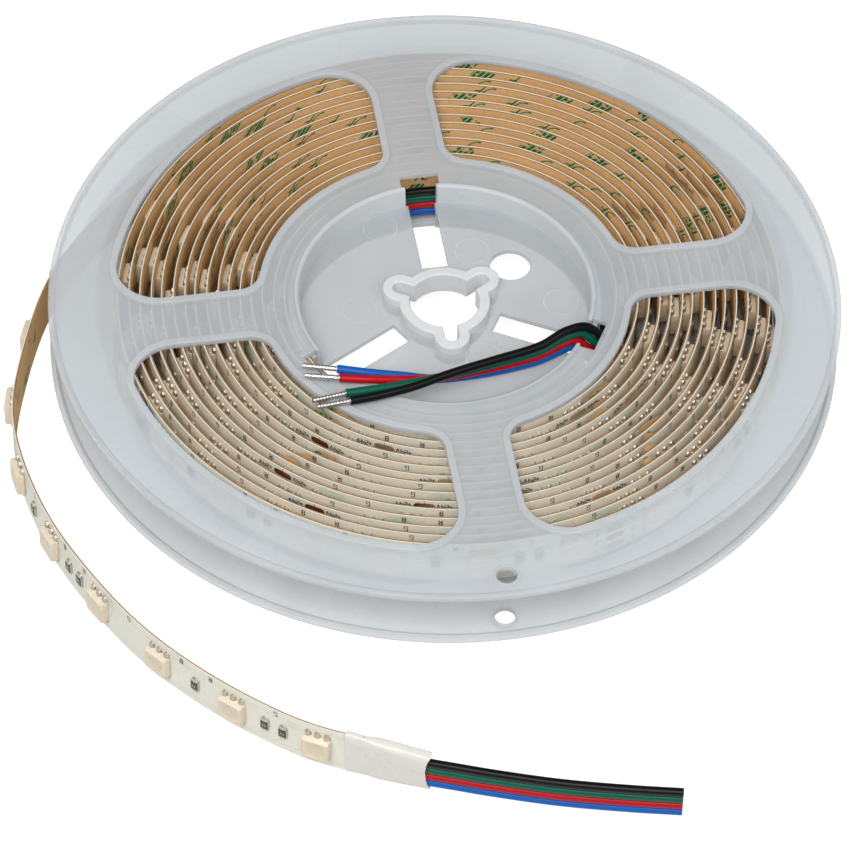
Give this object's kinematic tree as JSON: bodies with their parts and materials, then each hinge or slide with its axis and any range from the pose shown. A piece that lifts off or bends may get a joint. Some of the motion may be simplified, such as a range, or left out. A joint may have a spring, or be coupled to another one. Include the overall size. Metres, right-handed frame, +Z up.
{
  "type": "led strip light reel",
  "caption": "Flexible LED strip wound on edge in a flat translucent two-part reel, with coloured leads at both ends.",
  "frame": {"origin": "on the surface that the reel lies on, below the middle of the reel and loose strip together, without the leads", "axes": "+Z up along the reel's axis, -Y towards the side where the loose strip and its leads come out"},
  "size_m": [0.1536, 0.1841, 0.0158],
  "materials": {
    "upper_plastic": "milky translucent moulded plastic",
    "lower_plastic": "milky translucent moulded plastic",
    "strip": "white solder mask over a thin circuit, kraft liner on the back",
    "led": "cream package with a silicone dish",
    "resistor": "black ceramic chip with tinned ends",
    "sleeve": "satin white heat-shrink",
    "wire_blue": "glossy insulation",
    "wire_red": "glossy insulation",
    "wire_green": "glossy insulation",
    "wire_black": "glossy insulation",
    "tin": "tinned stranded copper"
  },
  "bodies": {
    "root": {"upper_reel_half": "upper_plastic", "lower_reel_half": "lower_plastic", "led_strip": "strip", "led_1": "led", "led_2": "led", "led_3": "led", "led_4": "led", "led_5": "led", "led_6": "led", "led_7": "led", "led_8": "led", "led_9": "led", "resistor_1": "resistor", "resistor_2": "resistor", "resistor_3": "resistor", "resistor_4": "resistor", "resistor_5": "resistor", "resistor_6": "resistor", "resistor_7": "resistor", "resistor_8": "resistor", "resistor_9": "resistor", "outer_sleeve": "sleeve", "outer_wire_blue": "wire_blue", "outer_wire_red": "wire_red", "outer_wire_green": "wire_green", "outer_wire_black": "wire_black", "inner_wire_blue": "wire_blue", "inner_wire_red": "wire_red", "inner_wire_green": "wire_green", "inner_wire_black": "wire_black", "inner_tip_blue": "tin", "inner_tip_red": "tin", "inner_tip_green": "tin", "inner_tip_black": "tin"}
  },
  "joints": []
}
